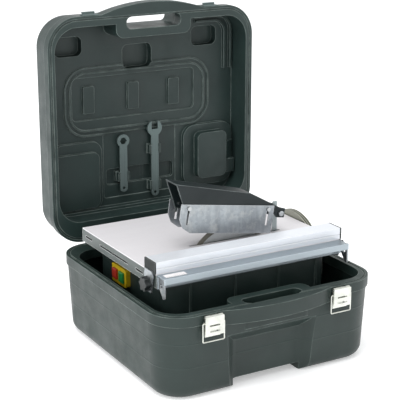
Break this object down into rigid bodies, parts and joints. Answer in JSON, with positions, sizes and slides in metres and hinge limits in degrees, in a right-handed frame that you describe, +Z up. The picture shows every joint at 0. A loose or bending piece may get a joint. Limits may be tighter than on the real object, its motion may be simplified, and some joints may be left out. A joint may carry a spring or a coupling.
{
  "type": "wet tile cutter in carry case",
  "caption": "Electric wet tile cutter with fence, guard and water tray, standing in the lower half of its latched carry case with the lid open.",
  "frame": {"origin": "on the ground under the middle of the case base's plan outline", "axes": "+X to the right along the fence, +Y to the back where the case is hinged, +Z up"},
  "size_m": [0.44, 0.5371, 0.6045],
  "materials": {
    "case_plastic": "fine grained moulded plastic",
    "tray_plastic": "moulded plastic",
    "table_steel": "pale powder coat",
    "rail_aluminium": "mill finish extrusion",
    "fence_aluminium": "satin anodised",
    "latch_steel": "nickel plated",
    "plated_steel": "galvanised",
    "guard_plastic": "moulded plastic",
    "knife_steel": "brushed",
    "blade_steel": "brushed",
    "diamond_grit": "sintered grit",
    "tool_steel": "blackened",
    "knob_plastic": "moulded plastic",
    "cap_plastic": "moulded plastic",
    "switch_yellow": "satin plastic",
    "button_red": "satin plastic",
    "button_green": "satin plastic",
    "label_film": "printed film",
    "zinc": "zinc plated",
    "motor_alloy": "die cast",
    "motor_iron": "laminated",
    "winding": "laminated core with copper winding",
    "bearing_steel": "ground",
    "fan_plastic": "moulded plastic",
    "capacitor_can": "smooth",
    "black_rubber": "matte",
    "disc_steel": "ground disc"
  },
  "bodies": {
    "case": {"case_base": "case_plastic", "hinge_pins": "zinc", "latch_pins": "zinc", "latch_rivets": "zinc", "table_top": "table_steel", "front_rail": "rail_aluminium", "scale_label": "label_film", "water_tray": "tray_plastic", "drain_plug": "black_rubber", "table_screws": "zinc", "switch_box": "switch_yellow", "cable_gland": "fan_plastic", "front_bearing": "bearing_steel", "rear_bearing": "bearing_steel", "stator": "winding", "motor_housing": "motor_alloy", "motor_cover": "motor_alloy", "motor_screws": "zinc", "motor_bracket": "plated_steel", "bracket_screws": "zinc", "capacitor": "capacitor_can", "riving_knife": "knife_steel", "spare_blades": "disc_steel", "latch_plate_left": "latch_steel", "rail_bracket_left": "plated_steel", "latch_plate_right": "latch_steel", "rail_bracket_right": "plated_steel"},
    "lid": {"case_lid": "case_plastic", "ring_spanner": "tool_steel", "open_spanner": "tool_steel", "lid_catch_left": "tool_steel", "lid_catch_right": "tool_steel"},
    "guard": {"guard_hood": "guard_plastic", "guard_screws": "zinc", "guard_pivot_screw": "zinc", "guard_pivot_nut": "zinc"},
    "plate_near": {"guard_plate_near": "plated_steel"},
    "plate_far": {"guard_plate_far": "plated_steel"},
    "arbor": {"blade_core": "blade_steel", "diamond_rim": "diamond_grit", "outer_flange": "zinc", "inner_flange": "zinc", "arbor_nut": "zinc", "motor_shaft": "bearing_steel", "rotor": "motor_iron", "cooling_fan": "fan_plastic"},
    "fence_slide": {"fence": "fence_aluminium", "fence_cap_left": "cap_plastic", "fence_cap_right": "cap_plastic", "fence_clamp_left": "plated_steel", "fence_clamp_right": "plated_steel", "clamp_screws": "zinc"},
    "knob_left": {"clamp_knob_left": "knob_plastic"},
    "knob_right": {"clamp_knob_right": "knob_plastic"},
    "stop_push": {"red_button": "button_red"},
    "start_push": {"green_button": "button_green"},
    "lever_left": {"latch_lever_left": "latch_steel"},
    "lever_right": {"latch_lever_right": "latch_steel"},
    "bail_left": {"latch_bail_left": "latch_steel"},
    "bail_right": {"latch_bail_right": "latch_steel"}
  },
  "joints": [
    {"name": "lid_hinge", "type": "hinge", "parent": "case", "child": "lid", "pos_m": [0, 0.2205, 0.149], "axis": [1, 0, 0], "range_deg": [0, 60]},
    {"name": "guard_pivot", "type": "hinge", "parent": "case", "child": "guard", "pos_m": [0.116, -0.025, 0.24], "axis": [0, -1, 0], "range_deg": [-30, 9]},
    {"name": "plate_near_slide", "type": "slide", "parent": "guard", "child": "plate_near", "axis": [0.1582, 0, 0.9874], "range_m": [0, 0.028]},
    {"name": "plate_far_slide", "type": "slide", "parent": "guard", "child": "plate_far", "axis": [0.1582, 0, 0.9874], "range_m": [0, 0.028]},
    {"name": "arbor_spin", "type": "hinge", "parent": "case", "child": "arbor", "pos_m": [0.018, -0.025, 0.141], "axis": [0, 1, 0], "continuous": true},
    {"name": "fence_travel", "type": "slide", "parent": "case", "child": "fence_slide", "axis": [0, 1, 0], "range_m": [-0.018, 0.036]},
    {"name": "stop_press", "type": "slide", "parent": "case", "child": "stop_push", "axis": [1, 0, 0], "range_m": [0, 0.0025], "stiffness_N_per_m": 800},
    {"name": "start_press", "type": "slide", "parent": "case", "child": "start_push", "axis": [1, 0, 0], "range_m": [0, 0.0025], "stiffness_N_per_m": 800},
    {"name": "knob_left_turn", "type": "hinge", "parent": "fence_slide", "child": "knob_left", "pos_m": [-0.189, -0.1085, 0.181], "axis": [1, 0, 0], "range_deg": [-270, 0]},
    {"name": "knob_right_turn", "type": "hinge", "parent": "fence_slide", "child": "knob_right", "pos_m": [0.195, -0.1085, 0.181], "axis": [1, 0, 0], "range_deg": [0, 270]},
    {"name": "latch_left_lift", "type": "hinge", "parent": "case", "child": "lever_left", "pos_m": [-0.13, -0.222, 0.148], "axis": [-1, 0, 0], "range_deg": [0, 100]},
    {"name": "bail_left_swing", "type": "hinge", "parent": "lever_left", "child": "bail_left", "pos_m": [-0.13, -0.222, 0.138], "axis": [-1, 0, 0], "range_deg": [0, 150]},
    {"name": "latch_right_lift", "type": "hinge", "parent": "case", "child": "lever_right", "pos_m": [0.128, -0.222, 0.148], "axis": [-1, 0, 0], "range_deg": [0, 100]},
    {"name": "bail_right_swing", "type": "hinge", "parent": "lever_right", "child": "bail_right", "pos_m": [0.128, -0.222, 0.138], "axis": [-1, 0, 0], "range_deg": [0, 150]}
  ]
}
